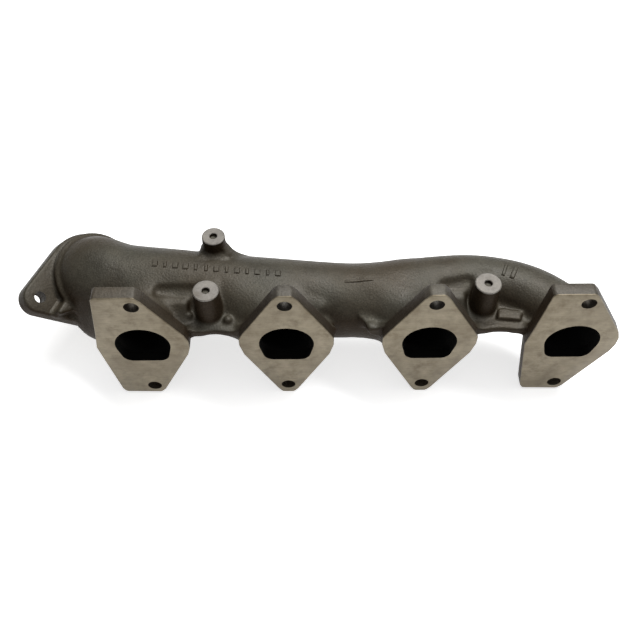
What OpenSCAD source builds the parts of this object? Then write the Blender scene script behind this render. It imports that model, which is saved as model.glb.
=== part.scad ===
// Four-port log exhaust manifold for one bank of a vee engine.
// One iron casting, split into its working regions: port flanges, runners,
// lengths of log, outlet, webs and heat-shield bosses.
// Millimetres. X runs along the cylinder head with the outlet at -X, the head
// face is the plane Y = 0 and the manifold stands off to +Y, Z is up.
// The origin is the centre of the eight-hole head bolt pattern.

/* [Port flanges] */
// Spacing of the exhaust ports along the head
port_pitch = 113.3; // [95:0.1:125]
// Height between the upper and the lower head bolt
bolt_height = 110; // [90:1:130]
// Head bolt clearance hole diameter
bolt_hole_d = 12.6; // [9:0.1:14]
// Thickness of each port flange
flange_t = 12; // [8:0.5:18]
// Height of the port centre above the bolt pattern centre
port_z = 5; // [0:0.5:10]
// Half width of the D-shaped port
port_r = 22.2; // [15:0.1:26]
// Level of the flat port floor
port_floor = -17; // [-25:0.5:-8]
// Level of the flange top
flange_top = 66.5; // [60:0.5:75]
// Level of the flange foot
flange_foot = -67.5; // [-75:0.5:-60]
// Half width of a middle flange at the waist
waist = 37.5; // [30:0.5:45]

/* [Log and runners] */
// Casting wall thickness
wall = 5; // [4:0.5:8]
// Runner outside radius where it leaves the flange
runner_r = 26; // [22:0.5:30]
// Sideways sweep of the middle runners towards the outlet
runner_sweep = 15; // [0:1:25]

/* [Outlet] */
// Outlet flange thickness
outlet_t = 13.4; // [8:0.2:18]
// Radius of the round middle of the outlet flange
outlet_r = 41; // [36:0.5:50]
// Radius of each stud lobe
lobe_r = 13.4; // [10:0.2:18]
// Distance between the two stud holes
stud_span = 104.8; // [95:0.2:120]
// Stud clearance hole diameter
stud_hole_d = 10.5; // [8:0.1:13]
// Outlet bore diameter
outlet_bore_d = 58; // [45:0.5:64]
// Largest diameter of the gasket seat in the outlet
seat_d = 66; // [50:0.5:74]

/* [Heat-shield bosses] */
// Level of the three machined boss faces
boss_z = 41; // [30:0.5:50]
// Diameter of the two bosses on the head side
boss_d = 20.8; // [16:0.1:24]
// Diameter of the boss on the outboard side
rear_boss_d = 19; // [15:0.1:22]
// Thread diameter of the boss holes
boss_thread_d = 6; // [5:1:8]
// Depth of the boss holes
boss_hole_depth = 16; // [10:1:24]

/* [Webs] */
// Top of the webs that tie neighbouring runners
web_top = 10.5; // [5:0.5:20]
// Web thickness
web_t = 7; // [4:0.5:12]

/* [Hidden] */
$fa = 7.5;
$fs = 1;
far = 400;
grow = 8;
mark_height = 0.8;
mark_fn = 240;
iron = [0.34, 0.32, 0.29];
iron_dark = [0.28, 0.27, 0.25];
machined = [0.56, 0.52, 0.46];

// Stations along the log: centre and outside radius at each joint plane.
log_stations = [
    [-198, 68.3, -3.5, 35.5],
    [-141, 61.5, -3.6, 33.9],
    [-100, 57.8, -4.1, 32.8],
    [-32, 52, -5, 31.4],
    [13.5, 52, -4, 30.4],
    [81.5, 60, 3, 25.2],
    [120, 54.7, 5, 24],
];
// The log turns into the last runner on a quarter bend.
bend_r = 24.3;
bend_turn_r = 60;
bend_centre = [110, -4.5, 5];
// Outside radius of the elbow where it meets the outlet flange.
elbow_r = 35.3;
skin = 0.1;
// A solid fairing carries the first runner's underside to the outlet flange.
fairing_from = [-186, 32, -10, 26];
fairing_to = [-210, 60, -19.5, 21.5];

outlet_centre = [-222.4, 80, -9.7];
outlet_turn = [-140.7, 20.4, 43];
front_boss_left = [-118.5, 26.6];
front_boss_right = [101.7, 31.6];
rear_boss = [-116.1, 82.8];

function port_x(i) = (i - 2.5) * port_pitch;
function xyz(p) = [p[0], p[1], p[2]];

// ---------- shared shapes ----------

// Truncated cone between two stations, run on past either end.
module cone_run(a, b, before, after, thinner) {
    v = xyz(b) - xyz(a);
    len = norm(v);
    slope = (b[3] - a[3]) / len;
    translate(xyz(a))
        rotate([0, acos(v[2] / len), atan2(v[1], v[0])])
            translate([0, 0, -before])
                cylinder(
                    h = len + before + after,
                    r1 = a[3] - slope * before - thinner,
                    r2 = b[3] + slope * after - thinner
                );
}

module slab_x(x0, x1) {
    translate([x0, -far / 2, -far / 2])
        cube([x1 - x0, far, far]);
}

module in_head_plane(x, y, depth) {
    translate([x, y + depth, 0])
        rotate([90, 0, 0])
            linear_extrude(depth)
                children();
}

module at_outlet(out) {
    translate(outlet_centre)
        rotate(outlet_turn)
            translate([0, 0, out])
                children();
}

module middle_outline() {
    polygon([
        [-5.5, flange_top], [5.5, flange_top], [9.8, flange_top - 5.3],
        [33.8, 19.5], [waist, 12], [waist, 3],
        [34.5, -9.5], [8.6, -62.3], [5, flange_foot],
        [-5, flange_foot], [-8.6, -62.3], [-34.5, -9.5],
        [-waist, 3], [-waist, 12], [-33.8, 19.5], [-9.8, flange_top - 5.3],
    ]);
}

module end_outline() {
    polygon([
        [-28.5, flange_top - 0.5], [3, flange_top - 0.5], [7.3, 61],
        [33.8, 17], [36.4, 9], [36.4, 0],
        [34, -9], [8.6, -61], [4.7, -65.8],
        [-25.8, -64.8], [-28.2, -60], [-37, 2], [-34.2, 20],
    ]);
}

module port_outline() {
    corner_r = 5;
    corner_x = 14.4;
    side_x = 19.4;
    corner_z = port_floor + corner_r;
    intersection() {
        translate([0, port_z])
            circle(r = port_r);
        translate([-30, port_z])
            square([60, 30]);
    }
    polygon([
        [-port_r, port_z], [port_r, port_z],
        [side_x, corner_z], [-side_x, corner_z],
    ]);
    for (s = [-1, 1])
        translate([s * corner_x, corner_z])
            circle(r = corner_r);
    translate([-corner_x, port_floor])
        square([2 * corner_x, corner_r]);
}

module port_flange(i, end_shape) {
    difference() {
        in_head_plane(port_x(i), 0, flange_t)
            if (end_shape) end_outline();
            else middle_outline();
        in_head_plane(port_x(i), -1, flange_t + 2)
            port_outline();
        for (s = [-1, 1])
            in_head_plane(port_x(i), -1, flange_t + 2)
                translate([0, s * bolt_height / 2])
                    circle(d = bolt_hole_d);
    }
}

module flange_blocks() {
    in_head_plane(port_x(1), -1, flange_t + 1)
        end_outline();
    in_head_plane(port_x(2), -1, flange_t + 1)
        middle_outline();
    in_head_plane(port_x(3), -1, flange_t + 1)
        middle_outline();
    in_head_plane(port_x(4), -1, flange_t + 1)
        end_outline();
}

module behind_flange() {
    translate([-far, flange_t, -far / 2])
        cube([2 * far, far, far]);
}

module log_run(k, thinner) {
    intersection() {
        cone_run(log_stations[k], log_stations[k + 1], grow, grow, thinner);
        slab_x(log_stations[k][0], log_stations[k + 1][0]);
    }
}

// The first runner goes straight in, the middle ones sweep to the outlet.
function sweep(i) = i == 1 ? 1 : runner_sweep;

module straight_runner(i, thinner) {
    cone_run(
        [port_x(i) + 0.3 * sweep(i), 0, port_z + 1.5, runner_r],
        [port_x(i) - sweep(i), 52, -4, runner_r + 1],
        1, 4, thinner
    );
}

module fairing() {
    intersection() {
        cone_run(fairing_from, fairing_to, 10, 6, 0);
        slab_x(-far, port_x(1) - 8);
    }
}

module beyond_outlet() {
    at_outlet(0)
        translate([-far / 2, -far / 2, 0])
            cube([far, far, far]);
}

// Smooth turn from the end of the log down to the outlet flange.
module elbow_solid(thinner) {
    start = log_stations[0];
    run_on = thinner > 0 ? 1 : 0;
    hull() {
        translate([start[0] + run_on - skin, start[1], start[2]])
            rotate([0, 90, 0])
                cylinder(h = skin, r = start[3] - thinner);
        at_outlet(run_on - skin)
            cylinder(h = skin, r = elbow_r - thinner);
    }
}

module quarter_bend(thinner) {
    translate(bend_centre)
        rotate_extrude(angle = 90)
            translate([bend_turn_r, 0])
                circle(r = bend_r - thinner);
}

module bend_solid(thinner) {
    intersection() {
        quarter_bend(thinner);
        slab_x(log_stations[6][0], far);
    }
}

// ---------- head side ----------

module port_flange_1() color(machined) port_flange(1, true);

module port_flange_2() color(machined) port_flange(2, false);

module port_flange_3() color(machined) port_flange(3, false);

module port_flange_4() color(machined) port_flange(4, true);

module runner_1() {
    color(iron)
        difference() {
            swept_runner(1, 0);
            elbow_solid(0);
        }
}

module swept_runner(i, k) {
    difference() {
        intersection() {
            straight_runner(i, 0);
            behind_flange();
        }
        straight_runner(i, wall + 0.5);
        log_run(k, 0);
    }
}

module runner_2() color(iron) swept_runner(2, 2);

module runner_3() color(iron) swept_runner(3, 4);

module runner_4() {
    color(iron)
        difference() {
            intersection() {
                bend_solid(0);
                behind_flange();
            }
            bend_solid(wall);
        }
}

// ---------- log ----------

module log_at_port_1() {
    color(iron)
        difference() {
            log_run(0, 0);
            log_run(0, wall);
            straight_runner(1, wall + 0.5);
            beyond_outlet();
        }
}

module log_between_1_2() {
    color(iron)
        difference() {
            log_run(1, 0);
            log_run(1, wall);
        }
}

module log_at_port_2() {
    color(iron)
        difference() {
            log_run(2, 0);
            log_run(2, wall);
            straight_runner(2, wall + 0.5);
        }
}

module log_between_2_3() {
    color(iron)
        difference() {
            log_run(3, 0);
            log_run(3, wall);
        }
}

module log_at_port_3() {
    color(iron)
        difference() {
            log_run(4, 0);
            log_run(4, wall);
            straight_runner(3, wall + 0.5);
        }
}

module log_between_3_4() {
    color(iron)
        difference() {
            log_run(5, 0);
            log_run(5, wall);
        }
}

// ---------- outlet ----------

module outlet_elbow() {
    color(iron)
        difference() {
            elbow_solid(0);
            elbow_solid(wall);
            beyond_outlet();
        }
}

module outlet_fairing() {
    color(iron)
        difference() {
            intersection() {
                fairing();
                behind_flange();
            }
            straight_runner(1, 0);
            cone_run(log_stations[0], log_stations[1], 0, 0, 0);
            elbow_solid(0);
            beyond_outlet();
        }
}

module collar_blank() {
    collar_h = 9;
    at_outlet(-collar_h)
        cylinder(h = collar_h, r1 = elbow_r + 2.5, r2 = elbow_r + 4.5);
}

module outlet_collar() {
    color(iron)
        difference() {
            collar_blank();
            elbow_solid(0);
            log_run(0, 0);
            fairing();
        }
}

function arc_points(x, r, from, to, steps) = [
    for (i = [0 : steps]) let (t = from + (to - from) * i / steps) [x + r * cos(t), r * sin(t)]
];

// Round middle and two stud lobes, joined by tangent lines.
module outlet_outline() {
    reach = stud_span / 2;
    tangent = acos((outlet_r - lobe_r) / reach);
    polygon(concat(
        arc_points(0, outlet_r, tangent, 180 - tangent, 16),
        arc_points(-reach, lobe_r, 180 - tangent, 180 + tangent, 12),
        arc_points(0, outlet_r, 180 + tangent, 360 - tangent, 16),
        arc_points(reach, lobe_r, -tangent, tangent, 12)
    ));
}

module outlet_flange() {
    seat_depth = 7;
    color(iron_dark)
        difference() {
            at_outlet(0)
                linear_extrude(outlet_t)
                    outlet_outline();
            at_outlet(-1)
                cylinder(h = outlet_t + 2, d = outlet_bore_d);
            at_outlet(outlet_t - seat_depth)
                cylinder(h = seat_depth, d1 = outlet_bore_d, d2 = seat_d);
            for (s = [-1, 1])
                at_outlet(-1)
                    translate([s * stud_span / 2, 0, 0])
                        cylinder(h = outlet_t + 2, d = stud_hole_d);
        }
}

module outlet_rib() {
    rib_t = 5;
    color(iron)
        at_outlet(0)
            rotate([0, 0, 162])
                translate([0, rib_t / 2, 0])
                    rotate([90, 0, 0])
                        linear_extrude(rib_t)
                            polygon([
                                [40, 0], [47, 0], [44, -5], [37, -18],
                                [36, -18], [36, -9], [38, -9],
                            ]);
}

// ---------- webs ----------

module web_between(x0, x1, mid_y, side_y) {
    half = (x1 - x0) / 2;
    rise = mid_y - side_y;
    arc_r = (half * half + rise * rise) / (2 * rise);
    difference() {
        translate([x0 - 12, 0, web_top - web_t])
            cube([x1 - x0 + 23, 40, web_t]);
        translate([(x0 + x1) / 2, mid_y - arc_r, web_top - web_t - 1])
            cylinder(h = web_t + 2, r = arc_r);
        flange_blocks();
    }
}

module web_1_2() {
    color(iron)
        difference() {
            web_between(port_x(1) + 36.4, port_x(2) - waist, 10, 2);
            straight_runner(1, 0);
            straight_runner(2, 0);
            log_run(0, 0);
            log_run(1, 0);
            log_run(2, 0);
        }
}

module web_3_4() {
    color(iron)
        difference() {
            web_between(port_x(3) + waist, port_x(4) - 37, 10, 5.5);
            straight_runner(3, 0);
            quarter_bend(0);
            log_run(4, 0);
            cone_run(log_stations[5], log_stations[6], 0, 3, 0);
        }
}

module web_gusset_3() {
    color(iron)
        difference() {
            translate([0, 0, web_top - web_t])
                linear_extrude(web_t)
                    polygon([[3, 22], [12, 8.5], [20, 5], [40, 5], [40, 40], [3, 40]]);
            flange_blocks();
            straight_runner(3, 0);
            log_run(3, 0);
            log_run(4, 0);
        }
}

module web_pad() {
    color(iron)
        difference() {
            translate([0, 0, web_top])
                linear_extrude(3)
                    polygon([[111.5, 18], [130, 16], [133, 24.5], [117.6, 28.5], [113.3, 26.8]]);
            quarter_bend(0);
            log_run(5, 0);
            flange_blocks();
            shield_boss_front_right();
        }
}

module web_nubs() {
    color(iron)
        difference() {
            union() {
                translate([-134, 24, web_top])
                    cylinder(h = 3, r1 = 3, r2 = 2);
                translate([-103.2, 19.3, web_top])
                    cylinder(h = 3, r1 = 4, r2 = 3);
            }
            straight_runner(1, 0);
            log_run(1, 0);
        }
}

// ---------- heat-shield bosses ----------

module boss_barrel(at, d, foot_z) {
    edge = 0.6;
    difference() {
        union() {
            translate([at[0], at[1], foot_z])
                cylinder(h = boss_z - edge - foot_z, d = d);
            translate([at[0], at[1], boss_z - edge])
                cylinder(h = edge, d1 = d, d2 = d - 2 * edge);
        }
        translate([at[0], at[1], boss_z - boss_hole_depth])
            cylinder(h = boss_hole_depth + 1, d = boss_thread_d);
    }
}

module shield_boss_front_left() {
    color(machined)
        difference() {
            boss_barrel(front_boss_left, boss_d, web_top);
            log_run(1, 0);
        }
}

module shield_boss_front_right() {
    color(machined)
        difference() {
            boss_barrel(front_boss_right, boss_d, web_top);
            log_run(5, 0);
        }
}

module shield_boss_rear() {
    color(machined)
        difference() {
            boss_barrel(rear_boss, rear_boss_d, 0);
            log_run(1, 0);
        }
}

module shield_boss_rear_foot() {
    foot_w = 24;
    foot_top = 29;
    color(iron)
        difference() {
            union() {
                translate([rear_boss[0] - foot_w / 2, rear_boss[1] - 10.5, 0])
                    cube([foot_w, 15, foot_top]);
                in_head_plane(rear_boss[0], rear_boss[1] - 4, 8)
                    polygon([[8, 0], [8, foot_top + 5], [25, 15], [25, 0]]);
            }
            log_run(1, 0);
            log_run(2, 0);
            translate([rear_boss[0], rear_boss[1], -1])
                cylinder(h = boss_z + 2, d = rear_boss_d);
        }
}

// ---------- raised casting marks ----------

// Row of plain raised bars along the top of the pipe from station a to station b.
module bar_row(a, b, x0, pitch, widths, length) {
    for (i = [0 : len(widths) - 1]) {
        t = (x0 + i * pitch - a[0]) / (b[0] - a[0]);
        p = a + t * (b - a);
        translate(xyz(p))
            rotate([0, 0, atan2(b[1] - a[1], b[0] - a[0])])
                translate([-widths[i] / 2, -length / 2, p[3] - 2])
                    cube([widths[i], length, 2 + mark_height]);
    }
}

module log_cast_marks() {
    color(iron)
        difference() {
            union() {
                bar_row(log_stations[0], log_stations[1], -162, 8, [5, 3, 5], 7);
                bar_row(log_stations[1], log_stations[2], -136, 8, [5, 3, 3, 5, 3], 7);
                bar_row(log_stations[2], log_stations[3], -95, 8, [5, 3, 5, 3, 5], 7);
            }
            log_run(0, 0, $fn = mark_fn);
            log_run(1, 0, $fn = mark_fn);
            log_run(2, 0, $fn = mark_fn);
        }
}

module log_end_marks() {
    bend_top = [[120, 54.7, 5, bend_r], [136, 49.6, 5, bend_r]];
    color(iron)
        difference() {
            bar_row(bend_top[0], bend_top[1], 124, 7, [3, 4], 14);
            quarter_bend(0, $fn = mark_fn);
        }
}

module log_cast_bar() {
    color(iron)
        difference() {
            bar_row(log_stations[3], log_stations[4], 0, 10, [26], 3);
            log_run(3, 0, $fn = mark_fn);
        }
}

// ---------- node switch ----------

port_flange_1();
port_flange_2();
port_flange_3();
port_flange_4();
runner_1();
runner_2();
runner_3();
runner_4();
log_at_port_1();
log_between_1_2();
log_at_port_2();
log_between_2_3();
log_at_port_3();
log_between_3_4();
outlet_elbow();
outlet_fairing();
outlet_collar();
outlet_flange();
outlet_rib();
web_1_2();
web_3_4();
web_gusset_3();
web_pad();
web_nubs();
shield_boss_front_left();
shield_boss_front_right();
shield_boss_rear();
shield_boss_rear_foot();
log_cast_marks();
log_end_marks();
log_cast_bar();
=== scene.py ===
import math

import bmesh
import bpy
import numpy as np
from mathutils import Matrix, Vector
from mathutils.geometry import tessellate_polygon


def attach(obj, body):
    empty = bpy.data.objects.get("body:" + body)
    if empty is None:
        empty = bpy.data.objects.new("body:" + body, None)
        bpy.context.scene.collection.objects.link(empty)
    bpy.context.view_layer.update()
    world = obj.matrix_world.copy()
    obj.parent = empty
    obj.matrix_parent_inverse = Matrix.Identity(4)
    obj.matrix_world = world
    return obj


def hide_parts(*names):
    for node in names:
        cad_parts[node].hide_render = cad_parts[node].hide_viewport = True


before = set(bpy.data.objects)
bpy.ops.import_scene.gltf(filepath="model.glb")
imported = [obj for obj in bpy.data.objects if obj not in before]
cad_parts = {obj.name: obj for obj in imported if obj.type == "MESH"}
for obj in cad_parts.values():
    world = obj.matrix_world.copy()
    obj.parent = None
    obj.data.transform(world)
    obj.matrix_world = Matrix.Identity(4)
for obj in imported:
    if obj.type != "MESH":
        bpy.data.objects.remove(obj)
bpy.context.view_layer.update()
MM = 0.001

# ---------------------------------------------------------------- dimensions
# All in millimetres. The single values are the same as in the CAD model.
PITCH = 113.3
PORT_X = [(i - 1.5) * PITCH for i in range(4)]
PORT_Z = 5.0
PORT_R = 22.2
PORT_FLOOR = -17.0
FLANGE_T = 12.0
BOLT_H = 110.0
BOLT_R = 6.3
WALL = 5.0
OUTLET_C = np.array([-222.4, 80.0, -9.7])
OUTLET_TURN = [math.radians(a) for a in (-140.7, 20.4, 43.0)]
OUTLET_T = 13.4
OUTLET_R = 41.0
LOBE_R = 13.4
STUD_SPAN = 104.8
STUD_R = 5.25
OUTLET_BORE = 29.0
BOSS_Z = 41.0
BOSS_A = (-118.5, 26.6)
BOSS_B = (101.7, 31.6)
BOSS_C = (-116.1, 82.8)

# Centre line and outside radius, from the outlet along the log to port 4.
# It has more stations than the CAD log, so it bends more smoothly.
LOG = [
    (-236.0, 86.0, -25.4, 35.2),
    (-222.4, 80.0, -9.7, 35.4),
    (-217.4, 76.5, -4.5, 35.5),
    (-205.0, 70.5, -3.5, 35.5),
    (-190.0, 66.5, -3.5, 35.0),
    (-150.0, 62.5, -3.5, 34.0),
    (-118.0, 59.5, -4.0, 33.2),
    (-60.0, 54.5, -4.5, 32.0),
    (0.0, 51.0, -5.0, 31.0),
    (50.0, 56.5, -1.0, 28.0),
    (88.0, 60.5, 3.5, 24.5),
    (115.0, 58.0, 5.0, 23.3),
    (139.0, 49.0, 5.5, 23.7),
    (158.0, 33.0, 5.5, 25.0),
    (169.95, 12.0, 5.0, 27.0),
    (169.95, -6.0, 5.0, 27.0),
]

OUTLET_M = (
    Matrix.Translation(Vector(OUTLET_C))
    @ Matrix.Rotation(OUTLET_TURN[2], 4, "Z")
    @ Matrix.Rotation(OUTLET_TURN[1], 4, "Y")
    @ Matrix.Rotation(OUTLET_TURN[0], 4, "X")
)
OUTLET_ROT = np.array(OUTLET_M.to_3x3())


# ---------------------------------------------------------------- field of distances
STEP = 1.25
LOW = np.array([-262.0, 2.0, -52.0])
HIGH = np.array([204.0, 122.0, 46.0])
AXES = [np.arange(LOW[k], HIGH[k] + STEP, STEP) for k in range(3)]
SHAPE = tuple(len(a) for a in AXES)


def smin(a, b, k):
    h = np.clip(k - np.abs(a - b), 0.0, None) / k
    return np.minimum(a, b) - h * h * k * 0.25


def smax(a, b, k):
    return -smin(-a, -b, k)


class Field:
    def __init__(self):
        self.f = np.full(SHAPE, 60.0, np.float32)

    def window(self, lo, hi):
        i0 = [max(0, int((lo[k] - LOW[k]) / STEP)) for k in range(3)]
        i1 = [min(SHAPE[k], int((hi[k] - LOW[k]) / STEP) + 2) for k in range(3)]
        sl = tuple(slice(a, b) for a, b in zip(i0, i1))
        x = AXES[0][sl[0]][:, None, None]
        y = AXES[1][sl[1]][None, :, None]
        z = AXES[2][sl[2]][None, None, :]
        return sl, x, y, z

    def add(self, shape, lo, hi, k):
        sl, x, y, z = self.window(lo, hi)
        d = shape(x, y, z)
        self.f[sl] = smin(self.f[sl], d, k) if k > 0 else np.minimum(self.f[sl], d)

    def cut(self, shape, lo, hi, k=0.0):
        sl, x, y, z = self.window(lo, hi)
        d = -shape(x, y, z)
        self.f[sl] = smax(self.f[sl], d, k) if k > 0 else np.maximum(self.f[sl], d)


def cone(a, b):
    """Round cone between two (x, y, z, r) stations."""
    a, b = np.array(a, float), np.array(b, float)
    v = b[:3] - a[:3]
    vv = float(v @ v)

    def f(x, y, z):
        px, py, pz = x - a[0], y - a[1], z - a[2]
        t = np.clip((px * v[0] + py * v[1] + pz * v[2]) / vv, 0.0, 1.0)
        dx, dy, dz = px - t * v[0], py - t * v[1], pz - t * v[2]
        return np.sqrt(dx * dx + dy * dy + dz * dz) - (a[3] + t * (b[3] - a[3]))

    return f


def reach(stations, room):
    s = np.array(stations, float)
    r = s[:, 3].max() + room
    return s[:, :3].min(0) - r, s[:, :3].max(0) + r


def smooth_path(points, each):
    """Catmull-Rom curve through the stations."""
    p = [np.array(q, float) for q in points]
    p = [2 * p[0] - p[1]] + p + [2 * p[-1] - p[-2]]
    out = []
    for i in range(1, len(p) - 2):
        for j in range(each):
            t = j / each
            out.append(
                0.5
                * (
                    2 * p[i]
                    + (p[i + 1] - p[i - 1]) * t
                    + (2 * p[i - 1] - 5 * p[i] + 4 * p[i + 1] - p[i + 2]) * t * t
                    + (3 * p[i] - p[i - 1] - 3 * p[i + 1] + p[i + 2]) * t**3
                )
            )
    out.append(p[-2])
    return out


def sweep(field, points, thinner, room):
    for a, b in zip(points[:-1], points[1:]):
        a, b = np.array(a), np.array(b)
        a[3] -= thinner
        b[3] -= thinner
        lo, hi = reach([a, b], room)
        field.add(cone(a, b), lo, hi, 0.0)


def polygon_distance(points, u, v):
    """Signed distance to a closed outline, negative inside."""
    p = np.array(points, float)
    n = len(p)
    best = None
    inside = None
    for i in range(n):
        a, b = p[i], p[(i + 1) % n]
        e = b - a
        wu, wv = u - a[0], v - a[1]
        t = np.clip((wu * e[0] + wv * e[1]) / float(e @ e), 0.0, 1.0)
        du, dv = wu - t * e[0], wv - t * e[1]
        d = du * du + dv * dv
        best = d if best is None else np.minimum(best, d)
        if abs(e[1]) > 1e-9:
            cross = ((a[1] <= v) & (v < b[1])) | ((b[1] <= v) & (v < a[1]))
            side = u < a[0] + (v - a[1]) / e[1] * e[0]
            hit = cross & side
            inside = hit if inside is None else inside ^ hit
    return np.where(inside, -1.0, 1.0) * np.sqrt(best)


def rounded_box(lo, hi, r):
    c = [(a + b) / 2 for a, b in zip(lo, hi)]
    h = [(b - a) / 2 - r for a, b in zip(lo, hi)]

    def f(x, y, z):
        q = [np.abs(w - cc) - hh for w, cc, hh in zip((x, y, z), c, h)]
        o = np.sqrt(sum(np.maximum(w, 0.0) ** 2 for w in q))
        return o + np.minimum(np.maximum(q[0], np.maximum(q[1], q[2])), 0.0) - r

    return f


def upright(cx, cy, r, z0, z1):
    def f(x, y, z):
        d = np.sqrt((x - cx) ** 2 + (y - cy) ** 2) - r
        return np.maximum(d, np.maximum(z0 - z, z - z1))

    return f


def prism_z(points, z0, z1, k=1.5):
    def f(x, y, z):
        d = polygon_distance(points, x, y)
        return smax(d, np.maximum(z0 - z, z - z1), k)

    return f


def outlet_coords(x, y, z):
    px, py, pz = x - OUTLET_C[0], y - OUTLET_C[1], z - OUTLET_C[2]
    m = OUTLET_ROT
    return tuple(px * m[0, k] + py * m[1, k] + pz * m[2, k] for k in range(3))


# ---------------------------------------------------------------- outlines
def rounded(points, radii):
    """Outline with each corner turned into an arc."""
    n = len(points)
    out = []
    for i in range(n):
        p = np.array(points[i], float)
        a = np.array(points[i - 1], float) - p
        b = np.array(points[(i + 1) % n], float) - p
        la, lb = np.linalg.norm(a), np.linalg.norm(b)
        a, b = a / la, b / lb
        half = math.acos(max(-1.0, min(1.0, float(a @ b)))) / 2
        r = radii if not isinstance(radii, (list, tuple)) else radii[i]
        cut = min(r / math.tan(half), 0.45 * la, 0.45 * lb)
        r = cut * math.tan(half)
        c = p + (a + b) / np.linalg.norm(a + b) * (r / math.sin(half))
        s, e = p + a * cut - c, p + b * cut - c
        t0, t1 = math.atan2(s[1], s[0]), math.atan2(e[1], e[0])
        turn = (t1 - t0 + math.pi) % (2 * math.pi) - math.pi
        steps = max(2, int(abs(turn) / math.radians(9)) + 1)
        for j in range(steps + 1):
            t = t0 + turn * j / steps
            out.append((c[0] + r * math.cos(t), c[1] + r * math.sin(t)))
    return out


TOP, FOOT, WAIST = 66.5, -67.5, 37.5
MIDDLE = [
    (-5.5, TOP), (5.5, TOP), (9.8, TOP - 5.3), (33.8, 19.5), (WAIST, 12), (WAIST, 3),
    (34.5, -9.5), (8.6, -62.3), (5, FOOT), (-5, FOOT), (-8.6, -62.3), (-34.5, -9.5),
    (-WAIST, 3), (-WAIST, 12), (-33.8, 19.5), (-9.8, TOP - 5.3),
]
END = [
    (-28.5, TOP - 0.5), (3, TOP - 0.5), (7.3, 61), (33.8, 17), (36.4, 9), (36.4, 0),
    (34, -9), (8.6, -61), (4.7, -65.8), (-25.8, -64.8), (-28.2, -60), (-37, 2), (-34.2, 20),
]
OUTLINES = [END, MIDDLE, MIDDLE, END]


def circle(cx, cy, r, n=64):
    return [
        (cx + r * math.cos(2 * math.pi * i / n), cy + r * math.sin(2 * math.pi * i / n))
        for i in range(n)
    ]


def port_outline(grow=0.0):
    r = PORT_R + grow
    floor = PORT_FLOOR - grow
    dip = math.radians(14)
    pts = []
    for i in range(37):
        t = -dip + (math.pi + 2 * dip) * i / 36
        pts.append((r * math.cos(t), PORT_Z + r * math.sin(t)))
    corner = 9.0
    for s, start in ((-1, math.pi + dip), (1, 1.5 * math.pi)):
        cx, cz = s * (10.4 + grow), floor + corner
        for j in range(9):
            t = start + (math.pi / 2 - dip) * j / 8
            pts.append((cx + corner * math.cos(t), cz + corner * math.sin(t)))
    return pts


def outlet_outline(shrink=0.0):
    hub, lobe, reach_x = OUTLET_R - shrink, LOBE_R - shrink, STUD_SPAN / 2
    t = math.acos((hub - lobe) / reach_x)

    def arc(cx, r, a, b, n):
        return [
            (cx + r * math.cos(a + (b - a) * i / n), r * math.sin(a + (b - a) * i / n))
            for i in range(n + 1)
        ]

    pi = math.pi
    return (
        arc(0, hub, t, pi - t, 28)
        + arc(-reach_x, lobe, pi - t, pi + t, 24)
        + arc(0, hub, pi + t, 2 * pi - t, 28)
        + arc(reach_x, lobe, -t, t, 24)
    )


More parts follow.
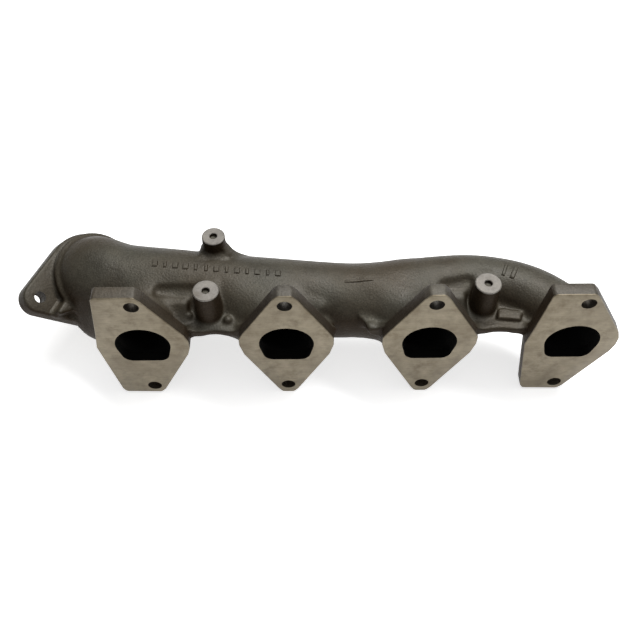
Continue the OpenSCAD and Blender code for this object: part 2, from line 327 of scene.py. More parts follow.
# ---------------------------------------------------------------- the casting
def build_field():
    body = Field()
    path = smooth_path(LOG, 7)
    sweep(body, path, 0.0, 26.0)

    runners = []
    for i, side in ((0, 1.0), (1, 15.0), (2, 15.0)):
        a = (PORT_X[i] + 0.3 * side, 0.0, PORT_Z + 1.5, 26.0)
        b = (PORT_X[i] - side, 52.0, -4.0, 27.0)
        runners.append((a, b))
        lo, hi = reach([a, b], 20.0)
        body.add(cone(a, b), lo, hi, 9.0)
    # Runners 2 and 3 flare towards the outlet where they meet the log.
    for i in (1, 2):
        a = (PORT_X[i] - 8.0, 16.0, 0.0, 22.0)
        b = (PORT_X[i] - 36.0, 44.0, -4.0, 25.0)
        lo, hi = reach([a, b], 20.0)
        body.add(cone(a, b), lo, hi, 12.0)

    # Underside fairing of runner 1, running on to the outlet flange.
    a, b = (-187.0, 33.0, -11.0, 24.0), (-222.0, 58.0, -26.0, 22.5)
    lo, hi = reach([a, b], 14.0)
    body.add(cone(a, b), lo, hi, 9.0)

    # Webs between the runners.
    def web(x0, x1, mid, side):
        half, rise = (x1 - x0) / 2, mid - side
        r = (half * half + rise * rise) / (2 * rise)
        cx, cy = (x0 + x1) / 2, mid - r

        def f(x, y, z):
            arc = r - np.sqrt((x - cx) ** 2 + (y - cy) ** 2)
            d = np.maximum(arc, np.maximum(x0 - 14 - x, x - x1 - 12))
            d = np.maximum(d, y - 42.0)
            return smax(d, np.abs(z - 7.0) - 3.5, 3.0)

        return f

    body.add(web(PORT_X[0] + 36.4, PORT_X[1] - WAIST, 10, 2), (-160, 0, -8), (-70, 54, 24), 6.0)
    body.add(web(PORT_X[2] + WAIST, PORT_X[3] - 37, 10, 5.5), (70, 0, -8), (158, 54, 24), 6.0)
    gusset = [(3, 22), (12, 8.5), (20, 5), (40, 5), (40, 40), (3, 40)]
    body.add(prism_z(gusset, 3.5, 10.5), (-10, 0, -8), (52, 52, 24), 5.0)

    # Shelves beside runners 1 and 3, with a hollow left between them and the log.
    def shelf(x0, x1, section):
        def f(x, y, z):
            d = polygon_distance(section, y, z)
            return smax(d, np.maximum(x0 - x, x - x1), 4.0)

        return f

    body.add(shelf(-168, -135, [(37, 0), (37, 17), (34.5, 20.5), (30, 20), (19, 11), (19, 0)]),
             (-180, 8, -8), (-122, 48, 32), 4.0)
    body.add(shelf(60, 88, [(43, 0), (43, 17), (40, 20), (34, 19), (22, 11), (22, 0)]),
             (50, 10, -8), (100, 54, 32), 4.0)
    body.cut(cone((-157, 38.5, 27.5, 6.0), (-132, 38.5, 27, 6.0)), (-186, 24, 12), (-116, 56, 44), 2.5)
    body.cut(cone((72, 42.0, 27, 5.0), (90, 45.5, 27, 5.0)), (60, 30, 14), (102, 58, 40), 4.0)

    # Saddles where runners 2 and 3 leave the log, and cast lumps beside the flanges.
    for a, b in (
        ((-104, 50, 14, 10), (-80, 36, 9, 14)),
        ((10, 50, 14, 10), (34, 36, 9, 14)),
    ):
        lo, hi = reach([a, b], 10.0)
        body.add(cone(a, b), lo, hi, 7.0)
    for a, b in (
        ((-37, 35, 14, 6), (-30, 31, 13, 6)),
        ((11, 13, 9, 4), (15, 11, 8, 4)),
        ((20, 9, 9, 4), (24, 8, 8, 4)),
    ):
        lo, hi = reach([a, b], 8.0)
        body.add(cone(a, b), lo, hi, 4.0)

    # Small filled corner beside flange 2.
    body.add(cone((-22, 14, 4, 4.5), (-34, 22, 4, 9)), (-50, 0, -14), (-4, 44, 26), 6.0)

    # Fillets on the back of each port flange.
    for i in range(4):
        px = PORT_X[i]
        outline = rounded(OUTLINES[i], 5.0)

        def slab(x, y, z, px=px, outline=outline):
            flat = polygon_distance(outline, x - px, z) + 0.7
            return np.maximum(flat, y - (FLANGE_T - 0.25))

        body.add(slab, (px - 46, 0, -52), (px + 46, 30, 46), 7.0)

    # Heat-shield bosses: the barrels are separate, these carry their fillets.
    for cx, cy in (BOSS_A, BOSS_B):
        body.add(upright(cx, cy, 10.1, 0.0, 38.0), (cx - 24, cy - 24, -6), (cx + 24, cy + 24, 46), 5.0)
        body.add(rounded_box((cx - 6, cy + 2, 4), (cx + 6, cy + 22, 26), 3.0),
                 (cx - 22, cy - 12, -10), (cx + 22, cy + 40, 44), 7.0)
    cx, cy = BOSS_C
    body.add(rounded_box((cx - 12, cy - 12, 0), (cx + 12, cy + 4.5, 29), 3.5),
             (cx - 26, cy - 30, -8), (cx + 26, cy + 22, 44), 5.0)
    gusset_c = [(8, 0), (8, 33), (25, 15), (25, 0)]

    def wedge(x, y, z):
        d = polygon_distance(gusset_c, x - cx, z)
        return smax(d, np.abs(y - (cy - 4)) - 4.0, 2.0)

    body.add(wedge, (cx - 4, cy - 22, -8), (cx + 40, cy + 14, 44), 4.0)
    body.add(upright(cx, cy, 9.2, 0.0, 38.0), (cx - 20, cy - 20, -4), (cx + 20, cy + 20, 46), 4.0)

    # Nubs and the raised pad on the webs.
    body.add(cone((-134, 24, 9, 3.0), (-134, 24, 11.5, 2.2)), (-144, 14, 2), (-124, 34, 20), 3.0)
    body.add(cone((-103.2, 19.3, 9, 4.2), (-103.2, 19.3, 12, 3.2)), (-114, 8, 2), (-92, 30, 22), 3.0)
    pad = [(111.5, 18), (130, 16), (133, 24.5), (117.6, 28.5), (113.3, 26.8)]
    body.add(prism_z(pad, 4.0, 14.0, 2.0), (100, 6, -2), (144, 40, 24), 2.0)

    # Outlet: bead round the tube, lug on the bead, fillet to the plate.
    def bead(x, y, z):
        u, v, w = outlet_coords(x, y, z)
        q = np.sqrt(u * u + v * v) - 36.2
        return np.sqrt(q * q + (w + 7.0) ** 2) - 2.6

    near = (-262, 20, -52), (-160, 122, 46)
    body.add(bead, *near, 3.0)

    lug_points = [
        (r * math.cos(math.radians(a)), r * math.sin(math.radians(a)))
        for r, a in ((33.0, 143.0), (50.0, 157.0), (50.0, 161.0), (33.0, 169.0))
    ]

    def lug(x, y, z):
        u, v, w = outlet_coords(x, y, z)
        d = polygon_distance(lug_points, u, v)
        return smax(d, np.maximum(w - 2.0, -9.0 - w), 2.0)

    body.add(lug, *near, 2.0)
    plate = outlet_outline(1.0)

    def outlet_slab(x, y, z):
        u, v, w = outlet_coords(x, y, z)
        return np.maximum(polygon_distance(plate, u, v), -w + 0.3)

    body.add(outlet_slab, *near, 6.0)

    # Gas passages.
    gas = Field()
    sweep(gas, path, WALL, 12.0)
    for a, b in runners:
        a2 = (a[0], a[1], a[2], a[3] - 5.5)
        b2 = (b[0], b[1], b[2], b[3] - 5.5)
        lo, hi = reach([a2, b2], 12.0)
        gas.add(cone(a2, b2), lo, hi, 4.0)
    for i in range(4):
        px = PORT_X[i]
        outline = port_outline(0.4)

        def port(x, y, z, px=px, outline=outline):
            inside = polygon_distance(outline, x - px, z) + 0.45 * np.maximum(y - 7.0, 0.0)
            return np.maximum(inside, y - 24.0)

        gas.add(port, (px - 34, 0, -30), (px + 34, 38, 40), 2.0)
    for s in (-1, 1):

        def stud(x, y, z, s=s):
            u, v, w = outlet_coords(x, y, z)
            return np.maximum(np.sqrt((u - s * STUD_SPAN / 2) ** 2 + v * v) - STUD_R - 0.3, -4.0 - w)

        gas.add(stud, *near, 0.0)
    body.f = np.maximum(body.f, -gas.f)

    # Trim flat inside the port flanges and inside the outlet plate.
    x, y, z = AXES[0][:, None, None], AXES[1][None, :, None], AXES[2][None, None, :]
    body.f = np.maximum(body.f, (9.0 - y).astype(np.float32))
    w = outlet_coords(x, y, z)[2]
    body.f = np.maximum(body.f, (w - 5.0).astype(np.float32))
    # The outermost layer is outside the iron, so the surface is closed.
    rim = np.ones(SHAPE, bool)
    rim[1:-1, 1:-1, 1:-1] = False
    body.f[rim] = np.maximum(body.f[rim], STEP)
    return body.f, gas.f


def sample(values, p):
    """Trilinear reading of a grid at points p."""
    q = (p - LOW) / STEP
    i = np.clip(np.floor(q).astype(int), 0, np.array(SHAPE) - 2)
    t = q - i
    out = 0.0
    for dx in (0, 1):
        for dy in (0, 1):
            for dz in (0, 1):
                w = (
                    (t[:, 0] if dx else 1 - t[:, 0])
                    * (t[:, 1] if dy else 1 - t[:, 1])
                    * (t[:, 2] if dz else 1 - t[:, 2])
                )
                out = out + w * values[i[:, 0] + dx, i[:, 1] + dy, i[:, 2] + dz]
    return out


def surface_nets(f):
    """Closed quad mesh on the zero level of the grid."""
    n = f.shape
    neg = f < 0
    cells = np.zeros(tuple(k - 1 for k in n), np.int16)
    corners = [(a, b, c) for a in (0, 1) for b in (0, 1) for c in (0, 1)]
    for a, b, c in corners:
        cells += neg[a : n[0] - 1 + a, b : n[1] - 1 + b, c : n[2] - 1 + c]
    active = (cells > 0) & (cells < 8)
    idx = np.argwhere(active)
    number = np.full(cells.shape, -1, np.int64)
    number[active] = np.arange(len(idx))
    total = np.zeros((len(idx), 3))
    count = np.zeros(len(idx))
    value = {k: f[idx[:, 0] + k[0], idx[:, 1] + k[1], idx[:, 2] + k[2]].astype(float) for k in corners}
    for k in corners:
        for axis in range(3):
            if k[axis]:
                continue
            m = list(k)
            m[axis] = 1
            m = tuple(m)
            a, b = value[k], value[m]
            cross = (a < 0) != (b < 0)
            t = np.where(cross, a / np.where(cross, a - b, 1.0), 0.0)
            for ax in range(3):
                total[:, ax] += np.where(cross, t if ax == axis else float(k[ax]), 0.0)
            count += cross
    verts = LOW + (idx + total / count[:, None]) * STEP
    quads = []
    for axis in range(3):
        o1, o2 = (axis + 1) % 3, (axis + 2) % 3
        lo = [slice(1, -1)] * 3
        lo[axis] = slice(0, -1)
        hi = list(lo)
        hi[axis] = slice(1, None)
        a, b = neg[tuple(lo)], neg[tuple(hi)]
        where = np.argwhere(a != b)
        first = a[tuple(where.T)]
        base = where.copy()
        base[:, o1] += 1
        base[:, o2] += 1
        ring = []
        for s1, s2 in ((-1, -1), (0, -1), (0, 0), (-1, 0)):
            c = base.copy()
            c[:, o1] += s1
            c[:, o2] += s2
            ring.append(number[c[:, 0], c[:, 1], c[:, 2]])
        q = np.stack(ring, 1)
        q[~first] = q[~first][:, ::-1]
        quads.append(q)
    return verts, np.concatenate(quads)


field, gas = build_field()
slope = np.gradient(field, STEP)
verts, quads = surface_nets(field)
for _ in range(3):
    g = np.stack([sample(s, verts) for s in slope], 1)
    length = np.maximum(np.linalg.norm(g, axis=1, keepdims=True), 0.3)
    verts -= np.clip(sample(field, verts)[:, None] / length, -0.4, 0.4) * g / length
print("casting:", len(verts), "vertices", len(quads), "faces")


# ---------------------------------------------------------------- materials
def material(name):
    m = bpy.data.materials.new(name)
    m.use_nodes = True
    nt = m.node_tree
    return m, nt, nt.nodes["Principled BSDF"]


def node(nt, kind, **values):
    n = nt.nodes.new(kind)
    for k, v in values.items():
        if k in n.inputs:
            n.inputs[k].default_value = v
        else:
            setattr(n, k, v)
    return n


def ramp(nt, source, stops):
    r = nt.nodes.new("ShaderNodeValToRGB")
    r.color_ramp.elements[0].position, r.color_ramp.elements[0].color = stops[0]
    r.color_ramp.elements[1].position, r.color_ramp.elements[1].color = stops[-1]
    for pos, col in stops[1:-1]:
        e = r.color_ramp.elements.new(pos)
        e.color = col
    nt.links.new(source, r.inputs["Fac"])
    return r


def mix(nt, a, b, fac, kind="MIX"):
    m = nt.nodes.new("ShaderNodeMix")
    m.data_type = "RGBA"
    m.blend_type = kind
    for sock, v in ((m.inputs["A"], a), (m.inputs["B"], b), (m.inputs["Factor"], fac)):
        if hasattr(v, "is_linked") or hasattr(v, "links"):
            nt.links.new(v, sock)
        else:
            sock.default_value = v
    return m.outputs["Result"]


def grey(v, warm=1.0, cool=1.0):
    return (v * warm, v, v * cool, 1.0)


def remap(nt, value, from_min, from_max, to_min, to_max):
    """Stretches a value from one range to another."""
    n = nt.nodes.new("ShaderNodeMapRange")
    n.inputs["From Min"].default_value = from_min
    n.inputs["From Max"].default_value = from_max
    n.inputs["To Min"].default_value = to_min
    n.inputs["To Max"].default_value = to_max
    nt.links.new(value, n.inputs["Value"])
    return n.outputs["Result"]


def cast_iron(name, base, brown, dark, spread):
    m, nt, bsdf = material(name)
    co = nt.nodes.new("ShaderNodeTexCoord").outputs["Object"]
    mottle = node(nt, "ShaderNodeTexNoise", Scale=38.0, Detail=6.0, Roughness=0.62)
    blotch = node(nt, "ShaderNodeTexNoise", Scale=14.0, Detail=3.0, Roughness=0.5)
    grain = node(nt, "ShaderNodeTexNoise", Scale=900.0, Detail=3.0, Roughness=0.6)
    pits = node(nt, "ShaderNodeTexVoronoi", Scale=520.0)
    wave = node(nt, "ShaderNodeTexNoise", Scale=110.0, Detail=4.0, Roughness=0.55)
    for t in (mottle, blotch, grain, pits, wave):
        nt.links.new(co, t.inputs["Vector"])
    tone = ramp(nt, mottle.outputs["Fac"], [(0.3, dark), (0.52, base), (0.75, spread)])
    rust = ramp(nt, blotch.outputs["Fac"], [(0.44, (0, 0, 0, 1)), (0.7, (1, 1, 1, 1))])
    split = nt.nodes.new("ShaderNodeSeparateXYZ")
    nt.links.new(co, split.inputs["Vector"])
    low = remap(nt, split.outputs["Z"], 0.012, -0.03, 0.0, 0.75)
    browned = mix(nt, tone.outputs["Color"], brown, low)
    facing = nt.nodes.new("ShaderNodeSeparateXYZ")
    nt.links.new(nt.nodes.new("ShaderNodeNewGeometry").outputs["Normal"], facing.inputs["Vector"])
    # Painted shade: sides and undersides are painted browner, darker and less glossy than the top, by which
    # way the surface faces, standing in for the shade under the overhead light.
    painted_shade = remap(nt, facing.outputs["Z"], 0.93, 0.35, 0.0, 0.95)
    colour = mix(nt, browned, brown, rust.outputs["Color"])
    colour = mix(nt, colour, (0.026, 0.0165, 0.0085, 1), painted_shade)
    painted_shade_gloss = remap(nt, facing.outputs["Z"], 0.93, 0.35, 0.45, 0.12)
    nt.links.new(painted_shade_gloss, bsdf.inputs["Specular IOR Level"])
    speck = ramp(nt, grain.outputs["Fac"], [(0.3, grey(0.72)), (0.65, grey(1.18))])
    colour = mix(nt, colour, speck.outputs["Color"], 1.0, "MULTIPLY")
    nt.links.new(colour, bsdf.inputs["Base Color"])
    rough = remap(nt, mottle.outputs["Fac"], 0.3, 0.7, 0.44, 0.62)
    nt.links.new(rough, bsdf.inputs["Roughness"])
    bsdf.inputs["Metallic"].default_value = 0.25
    b1 = node(nt, "ShaderNodeBump", Strength=0.55, Distance=0.00035)
    nt.links.new(grain.outputs["Fac"], b1.inputs["Height"])
    b2 = node(nt, "ShaderNodeBump", Strength=0.35, Distance=0.00045)
    nt.links.new(pits.outputs["Distance"], b2.inputs["Height"])
    nt.links.new(b1.outputs["Normal"], b2.inputs["Normal"])
    b3 = node(nt, "ShaderNodeBump", Strength=0.3, Distance=0.0012)
    nt.links.new(wave.outputs["Fac"], b3.inputs["Height"])
    nt.links.new(b2.outputs["Normal"], b3.inputs["Normal"])
    nt.links.new(b3.outputs["Normal"], bsdf.inputs["Normal"])
    return m


def machined(name, base, stain, light, metallic, across):
    m, nt, bsdf = material(name)
    co = nt.nodes.new("ShaderNodeTexCoord").outputs["Object"]
    mapped = nt.nodes.new("ShaderNodeMapping")
    mapped.inputs["Scale"].default_value = across
    nt.links.new(co, mapped.inputs["Vector"])
    lines = node(nt, "ShaderNodeTexNoise", Scale=1.0, Detail=3.0, Roughness=0.7)
    nt.links.new(mapped.outputs["Vector"], lines.inputs["Vector"])
    mottle = node(nt, "ShaderNodeTexNoise", Scale=90.0, Detail=6.0, Roughness=0.65)
    blotch = node(nt, "ShaderNodeTexNoise", Scale=26.0, Detail=3.0, Roughness=0.55)
    for t in (mottle, blotch):
        nt.links.new(co, t.inputs["Vector"])
    tone = ramp(nt, mottle.outputs["Fac"], [(0.32, stain), (0.5, base), (0.72, light)])
    patch = ramp(nt, blotch.outputs["Fac"], [(0.46, (0, 0, 0, 1)), (0.74, (0.7, 0.7, 0.7, 1))])
    colour = mix(nt, tone.outputs["Color"], stain, patch.outputs["Color"])
    streak = ramp(nt, lines.outputs["Fac"], [(0.3, grey(0.84)), (0.7, grey(1.1))])
    colour = mix(nt, colour, streak.outputs["Color"], 1.0, "MULTIPLY")
    nt.links.new(colour, bsdf.inputs["Base Color"])
    rough = remap(nt, mottle.outputs["Fac"], 0.3, 0.7, 0.36, 0.56)
    nt.links.new(rough, bsdf.inputs["Roughness"])
    bsdf.inputs["Metallic"].default_value = metallic
    b1 = node(nt, "ShaderNodeBump", Strength=0.25, Distance=0.0001)
    nt.links.new(lines.outputs["Fac"], b1.inputs["Height"])
    b2 = node(nt, "ShaderNodeBump", Strength=0.3, Distance=0.0002)
    nt.links.new(mottle.outputs["Fac"], b2.inputs["Height"])
    nt.links.new(b1.outputs["Normal"], b2.inputs["Normal"])
    nt.links.new(b2.outputs["Normal"], bsdf.inputs["Normal"])
    return m


IRON = cast_iron(
    "as_cast_iron",
    (0.066, 0.060, 0.044, 1), (0.056, 0.043, 0.026, 1), (0.042, 0.037, 0.026, 1), (0.094, 0.086, 0.064, 1),
)
# The gas way is soot black, made darker than soot alone so that it also paints the shade inside the ports
# and passages.
SOOT_AND_SHADE, _, soot_and_shade_bsdf = material("sooted_and_shaded_iron")
soot_and_shade_bsdf.inputs["Base Color"].default_value = (0.006, 0.0055, 0.005, 1)
soot_and_shade_bsdf.inputs["Roughness"].default_value = 0.9
soot_and_shade_bsdf.inputs["Specular IOR Level"].default_value = 0.1
EDGE = cast_iron(
    "flange_edge_iron",
    (0.085, 0.077, 0.062, 1), (0.075, 0.060, 0.042, 1), (0.055, 0.049, 0.040, 1), (0.13, 0.12, 0.095, 1),
)
FACE = machined(
    "machined_flange_face",
    (0.205, 0.173, 0.118, 1), (0.118, 0.092, 0.056, 1), (0.285, 0.245, 0.178, 1), 0.65, (60.0, 500.0, 900.0),
)
BOSS = machined(
    "machined_boss_face",
    (0.20, 0.185, 0.165, 1), (0.13, 0.115, 0.095, 1), (0.27, 0.25, 0.22, 1), 0.35, (700.0, 700.0, 700.0),
)


# ---------------------------------------------------------------- meshes
def finish_piece(name, me, materials, nodes):
    ob = bpy.data.objects.new(name, me)
    bpy.context.scene.collection.objects.link(ob)
    for m in materials:
        me.materials.append(m)
    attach(ob, "root")
    if nodes:
        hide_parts(*nodes)
    return ob


def split(bm, point, normal):
    """Two closed halves of a mesh: behind and ahead of the plane."""
    halves = []
    for keep_back in (True, False):
        half = bm.copy()
        cut = bmesh.ops.bisect_plane(
            half,
            geom=half.verts[:] + half.edges[:] + half.faces[:],
            dist=1e-5,
            plane_co=Vector(point),
            plane_no=Vector(normal),
            clear_outer=keep_back,
            clear_inner=not keep_back,
        )
        rim = [e for e in cut["geom_cut"] if isinstance(e, bmesh.types.BMEdge) and e.is_boundary]
        made = bmesh.ops.triangle_fill(half, edges=rim, use_beauty=False, use_dissolve=False)
        way = Vector(normal) if keep_back else -Vector(normal)
        for face in made["geom"]:
            if isinstance(face, bmesh.types.BMFace):
                face.normal_update()
                if face.normal.dot(way) < 0:
                    face.normal_flip()
        halves.append(half)
    bm.free()
    return halves


# A face this near the gas way, in millimetres, is part of its wall.
GAS_WALL_MARGIN = 0.8


def cast_piece(name, bm, nodes):
    for e in [e for e in bm.edges if e.is_wire]:
        bm.edges.remove(e)
    me = bpy.data.meshes.new(name)
    bm.to_mesh(me)
    bm.free()
    n = len(me.vertices)
    co = np.empty(n * 3)
    me.vertices.foreach_get("co", co)
    p = co.reshape(-1, 3)
    g = np.stack([sample(s, p) for s in slope], 1)
    g /= np.maximum(np.linalg.norm(g, axis=1, keepdims=True), 1e-6)
    loops = len(me.loops)
    vi = np.empty(loops, np.int32)
    me.loops.foreach_get("vertex_index", vi)
    pn = np.empty(len(me.polygons) * 3)
    me.polygons.foreach_get("normal", pn)
    totals = np.empty(len(me.polygons), np.int32)
    me.polygons.foreach_get("loop_total", totals)
    face_of = np.repeat(np.arange(len(me.polygons)), totals)
    pn = pn.reshape(-1, 3)[face_of]
    ln = g[vi]
    flat = (ln * pn).sum(1) < 0.6
    ln[flat] = pn[flat]
    me.vertices.foreach_set("co", (p * MM).ravel())
    me.update()
    me.shade_smooth()
    me.normals_split_custom_set(ln.tolist())
    middle = np.empty(len(me.polygons) * 3)
    me.polygons.foreach_get("center", middle)
    # Faces on the gas way get the near-black soot material, which also paints the shade inside the passages.
    inside = sample(gas, middle.reshape(-1, 3) / MM) < GAS_WALL_MARGIN
    me.polygons.foreach_set("material_index", inside.astype(np.int32))
    return finish_piece(name, me, [IRON, SOOT_AND_SHADE], nodes)


base_me = bpy.data.meshes.new("casting")
base_me.from_pydata(verts.tolist(), [], quads.tolist())
base_me.update()
bm = bmesh.new()
bm.from_mesh(base_me)
bpy.data.meshes.remove(base_me)
X, Y = (1, 0, 0), (0, 1, 0)
outlet_part, rest = split(bm, (-198, 0, 0), X)
fairing, elbow = split(outlet_part, (0, 46, 0), Y)
cast_piece("outlet_fairing_skin", fairing, ["outlet_fairing"])
cast_piece("outlet_elbow_skin", elbow, ["outlet_elbow", "outlet_collar", "outlet_rib"])
zone, rest = split(rest, (-141, 0, 0), X)
front, back = split(zone, (0, 30, 0), Y)
cast_piece("runner_1_skin", front, ["runner_1"])
cast_piece("log_at_port_1_skin", back, ["log_at_port_1"])
zone, rest = split(rest, (-95, 0, 0), X)
front, back = split(zone, (0, 29, 0), Y)
cast_piece("web_1_2_skin", front, ["web_1_2", "web_nubs"])
lean = Vector((0, 0.49, 0.87)).normalized()
back, foot = split(back, Vector((0, 59.5, -4)) + lean * 32.2, lean)
cast_piece("log_between_1_2_skin", back, ["log_between_1_2"])
cast_piece("rear_boss_foot_skin", foot, ["shield_boss_rear_foot"])
zone, rest = split(rest, (-22, 0, 0), X)
front, back = split(zone, (0, 28, 0), Y)
cast_piece("runner_2_skin", front, ["runner_2"])
cast_piece("log_at_port_2_skin", back, ["log_at_port_2"])
zone, rest = split(rest, (13.5, 0, 0), X)
cast_piece("log_between_2_3_skin", zone, ["log_between_2_3"])
zone, rest = split(rest, (90, 0, 0), X)
front, back = split(zone, (0, 29, 0), Y)
cast_piece("runner_3_skin", front, ["runner_3", "web_gusset_3"])
cast_piece("log_at_port_3_skin", back, ["log_at_port_3"])
zone, rest = split(rest, (120, 0, 0), X)
front, back = split(zone, (0, 35, 0), Y)
cast_piece("web_3_4_skin", front, ["web_3_4", "web_pad"])
cast_piece("log_between_3_4_skin", back, ["log_between_3_4"])
cast_piece("runner_4_skin", rest, ["runner_4"])


def offset_loop(loop, d):
    """Moves a counter-clockwise loop inwards by d."""
    p = np.array(loop)
    e = np.roll(p, -1, 0) - p
    ln = np.linalg.norm(e, axis=1, keepdims=True)
    nrm = np.stack([-e[:, 1], e[:, 0]], 1) / np.maximum(ln, 1e-9)
    v = nrm + np.roll(nrm, 1, 0)
    v /= np.maximum(np.linalg.norm(v, axis=1, keepdims=True), 1e-9)
    c = np.maximum((v * nrm).sum(1, keepdims=True), 0.5)
    return p + v * d / c


def plate_piece(name, outer, outer_profile, holes, place, materials, nodes, face_depth):
    """Plate with holes. Profiles are (inset, depth) pairs from the front to the back."""
    me = bpy.data.meshes.new(name)
    pts, faces, mats = [], [], []
    ends = []
    # The largest hole's walls get the near-black soot material, which also paints the shade inside the port.
    soot_and_shade_loop = max((h for h, pr in holes), key=len)
    for loop, profile, is_hole in [(outer, outer_profile, False)] + [(h, pr, True) for h, pr in holes]:
        starts = []
        for inset, depth in profile:
            ring = offset_loop(loop, -inset if is_hole else inset)
            starts.append(len(pts))
            pts.extend((u, v, depth) for u, v in ring)
        n = len(loop)
        for a, b, (_, d1) in zip(starts[:-1], starts[1:], profile[1:]):
            for j in range(n):
                k = (j + 1) % n
                f = (a + j, b + j, b + k, a + k)
                faces.append(f[::-1] if is_hole else f)
                mats.append(0 if d1 <= face_depth else 2 if loop is soot_and_shade_loop else 1)
        ends.append((starts[0], starts[-1], n))
    for end, flip in ((0, False), (1, True)):
        loops = [[Vector(pts[e[end] + j]) for j in range(e[2])] for e in ends]
        flat = [e[end] + j for e in ends for j in range(e[2])]
        for tri in tessellate_polygon(loops):
            f = tuple(flat[i] for i in tri)
            a, b, c = (Vector(pts[i]) for i in f)
            up = (b - a).cross(c - a).z > 0
            # The front looks along -depth.
            if up != flip:
                f = f[::-1]
            faces.append(f)
            mats.append(1 if flip else 0)
    me.from_pydata([tuple(place(p)) for p in pts], [], faces)
    me.polygons.foreach_set("material_index", mats)
    me.update()
    bm = bmesh.new()
    bm.from_mesh(me)
    bmesh.ops.recalc_face_normals(bm, faces=bm.faces[:])
    bm.to_mesh(me)
    bm.free()
    me.shade_smooth()
    me.set_sharp_from_angle(angle=math.radians(32))
    return finish_piece(name, me, materials, nodes)


EDGE_PROFILE = [(0.9, 0.0), (0.35, 0.25), (0.0, 0.9), (0.0, 10.2), (0.35, 11.2), (1.1, 11.8), (2.2, 12.0)]
HOLE_PROFILE = [(-0.5, 0.0), (0.0, 0.5), (0.0, 12.0)]
PORT_PROFILE = [(-0.5, 0.0), (-0.1, 0.35), (0.0, 1.0), (0.0, 12.0)]
BOLT_HOLES = [(circle(0, s * BOLT_H / 2, BOLT_R, 48), HOLE_PROFILE) for s in (-1, 1)]
for i in range(4):
    plate_piece(
        f"port_flange_{i + 1}_skin",
        rounded(OUTLINES[i], 4.0)[::-1],
        EDGE_PROFILE,
        [(port_outline(), PORT_PROFILE)] + BOLT_HOLES,
        lambda p, px=PORT_X[i]: ((px + p[0]) * MM, p[2] * MM, p[1] * MM),
        [FACE, EDGE, SOOT_AND_SHADE],
        [f"port_flange_{i + 1}"],
        0.9,
    )

T = OUTLET_T
plate_piece(
    "outlet_flange_skin",
    outlet_outline(),
    [(0.8, 0.0), (0.0, 0.8), (0.0, T - 2.4), (0.5, T - 1.0), (1.3, T - 0.3), (2.4, T)],
    [
        (circle(0, 0, OUTLET_BORE, 96), [(-4.0, 0.0), (0.0, 7.0), (0.0, T)]),
        (circle(-STUD_SPAN / 2, 0, STUD_R, 48), [(-0.5, 0.0), (0.0, 0.5), (0.0, T - 0.5), (-0.5, T)]),
        (circle(STUD_SPAN / 2, 0, STUD_R, 48), [(-0.5, 0.0), (0.0, 0.5), (0.0, T - 0.5), (-0.5, T)]),
    ],
    lambda p: OUTLET_M @ Vector((p[0], p[1], T - p[2])) * MM,
    [FACE, IRON, SOOT_AND_SHADE],
    ["outlet_flange"],
    0.8,
)


def barrel(name, cx, cy, r, z0, nodes):
    profile = [
        (0.0, z0), (r, z0), (r, BOSS_Z - 0.9), (r - 0.25, BOSS_Z - 0.35), (r - 0.8, BOSS_Z),
        (3.5, BOSS_Z), (3.0, BOSS_Z - 0.5), (3.0, BOSS_Z - 16.0), (0.0, BOSS_Z - 17.2),
    ]
    n = 72
    pts, faces, mats = [(cx, cy, z0)], [], []
    for r1, z1 in profile[1:-1]:
        for j in range(n):
            t = 2 * math.pi * j / n
            pts.append((cx + r1 * math.cos(t), cy + r1 * math.sin(t), z1))
    pts.append((cx, cy, profile[-1][1]))
    for j in range(n):
        k = (j + 1) % n
        faces.append((0, 1 + k, 1 + j))
        mats.append(1)
        for s in range(len(profile) - 3):
            a, b = 1 + s * n, 1 + (s + 1) * n
            faces.append((a + j, a + k, b + k, b + j))
            mats.append(0 if 1 <= s <= 4 else 1)
        last = 1 + (len(profile) - 3) * n
        faces.append((last + j, last + k, len(pts) - 1))
        mats.append(1)
    me = bpy.data.meshes.new(name)
    me.from_pydata([(a * MM, b * MM, c * MM) for a, b, c in pts], [], faces)
    me.polygons.foreach_set("material_index", mats)
    me.update()
    me.shade_smooth()
    me.set_sharp_from_angle(angle=math.radians(32))
    return finish_piece(name, me, [BOSS, IRON], nodes)


barrel("boss_front_left_skin", *BOSS_A, 10.4, 8.0, ["shield_boss_front_left"])
barrel("boss_front_right_skin", *BOSS_B, 10.4, 8.0, ["shield_boss_front_right"])
barrel("boss_rear_skin", *BOSS_C, 9.5, 20.0, ["shield_boss_rear"])


# Raised plain bars on top of the log, lying on its surface.
def surface_height(px, py):
    z = np.full(len(px), 42.0)
    for _ in range(60):
        p = np.stack([px, py, z], 1)
        z = z - np.clip(sample(field, p), -2.0, 2.0) * 0.8
    return z


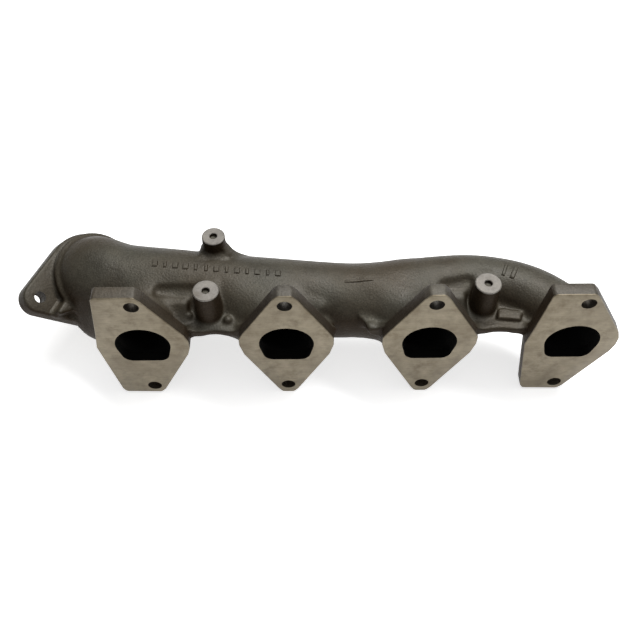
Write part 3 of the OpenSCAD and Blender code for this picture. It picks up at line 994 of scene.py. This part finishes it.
def bars(name, marks, height, nodes):
    pts, faces = [], []
    for cx, cy, w, ln, turn in marks:
        nu, nv = 8, max(8, int(ln))
        u = np.linspace(-1, 1, nu + 1)
        v = np.linspace(-1, 1, nv + 1)
        uu, vv = np.meshgrid(u, v, indexing="ij")
        c, s = math.cos(math.radians(turn)), math.sin(math.radians(turn))
        lx, ly = uu * w / 2, vv * ln / 2
        px = cx + lx * c - ly * s
        py = cy + lx * s + ly * c
        z = surface_height(px.ravel(), py.ravel()).reshape(px.shape)
        du = np.minimum((1 - np.abs(uu)) * w / 2, (1 - np.abs(vv)) * ln / 2)
        lift = height * np.clip(du / 0.7, 0, 1) ** 0.6 - 0.25
        top = len(pts)
        raised = (z + lift).ravel()
        pts += [(a * MM, b * MM, h * MM) for a, b, h in zip(px.ravel(), py.ravel(), raised)]
        low = len(pts)
        pts += [(a * MM, b * MM, (h - 1.2) * MM) for a, b, h in zip(px.ravel(), py.ravel(), z.ravel())]
        m = nv + 1
        for i in range(nu):
            for j in range(nv):
                a = i * m + j
                faces.append((top + a, top + a + m, top + a + m + 1, top + a + 1))
                faces.append((low + a, low + a + 1, low + a + m + 1, low + a + m))
        ring = [i * m for i in range(nu + 1)] + [nu * m + j for j in range(1, m)]
        ring += [i * m + nv for i in range(nu - 1, -1, -1)] + [j for j in range(nv - 1, 0, -1)]
        for a, b in zip(ring, ring[1:] + ring[:1]):
            faces.append((top + a, low + a, low + b, top + b))
    me = bpy.data.meshes.new(name)
    me.from_pydata(pts, [], faces)
    me.update()
    me.shade_smooth()
    me.set_sharp_from_angle(angle=math.radians(50))
    return finish_piece(name, me, [IRON], nodes)


def log_y(x):
    p = np.array(LOG)[2:12]
    return float(np.interp(x, p[:, 0], p[:, 1]))


widths = [5, 3, 5, 5, 3, 3, 5, 3, 5, 3, 5, 3, 5]
bars(
    "cast_marks",
    [(-163 + i * 8.3, log_y(-163 + i * 8.3) - 1, w, 7, 0) for i, w in enumerate(widths)],
    1.1,
    ["log_cast_marks"],
)
bars("end_marks", [(120.5, 56, 3, 14, -22), (127.5, 53, 4, 14, -26)], 1.1, ["log_end_marks"])
bars("cast_bar", [(2, 47, 26, 3, 2)], 1.0, ["log_cast_bar"])


# ---------------------------------------------------------------- stage, light, camera
def floor():
    me = bpy.data.meshes.new("floor")
    s = 12.0
    z = (FOOT - 0.2) * MM
    me.from_pydata([(-s, -s, z), (s, -s, z), (s, s, z), (-s, s, z)], [], [(0, 1, 2, 3)])
    ob = bpy.data.objects.new("floor", me)
    bpy.context.scene.collection.objects.link(ob)
    m, nt, bsdf = material("pale_floor")
    bsdf.inputs["Base Color"].default_value = (0.9, 0.9, 0.9, 1)
    bsdf.inputs["Roughness"].default_value = 0.8
    bsdf.inputs["Emission Color"].default_value = (1, 1, 1, 1)
    bsdf.inputs["Emission Strength"].default_value = 0.7
    me.materials.append(m)


floor()


def area(name, where, at, size, power, colour=(1, 1, 1)):
    li = bpy.data.lights.new(name, "AREA")
    li.shape = "RECTANGLE"
    li.size, li.size_y = size
    li.energy = power
    li.color = colour
    ob = bpy.data.objects.new(name, li)
    ob.location = where
    ob.rotation_euler = (Vector(at) - Vector(where)).to_track_quat("-Z", "Y").to_euler()
    bpy.context.scene.collection.objects.link(ob)


area("softbox", (0.30, 0.42, 1.20), (0.03, 0.04, 0), (1.3, 0.40), 20.0)
area("top", (0.15, -0.25, 1.5), (0, 0.0, 0), (2.2, 1.6), 6.0)

world = bpy.data.worlds.new("world")
bpy.context.scene.world = world
world.use_nodes = True
world.node_tree.nodes["Background"].inputs["Color"].default_value = (1, 1, 1, 1)
world.node_tree.nodes["Background"].inputs["Strength"].default_value = 0.12
bpy.context.scene.view_settings.view_transform = "Standard"

pitch, yaw, roll = math.radians(54.13), math.radians(-1.11), math.radians(0.41)
fwd0 = Vector((-math.sin(yaw), math.cos(yaw), 0))
right0 = Vector((math.cos(yaw), math.sin(yaw), 0))
up0 = Vector((0, 0, 1))
ahead = math.cos(pitch) * fwd0 - math.sin(pitch) * up0
up1 = math.sin(pitch) * fwd0 + math.cos(pitch) * up0
right = math.cos(roll) * right0 + math.sin(roll) * up1
up = -math.sin(roll) * right0 + math.cos(roll) * up1
cam = bpy.data.cameras.new("camera")
cam.sensor_width = 36.0
cam.lens = 45.31
cam.clip_start = 0.01
cam_ob = bpy.data.objects.new("camera", cam)
bpy.context.scene.collection.objects.link(cam_ob)
m = Matrix((right, up, -ahead)).transposed().to_4x4()
m.translation = Vector((-0.03719, -0.35775, 0.53242))
cam_ob.matrix_world = m
bpy.context.scene.camera = cam_ob
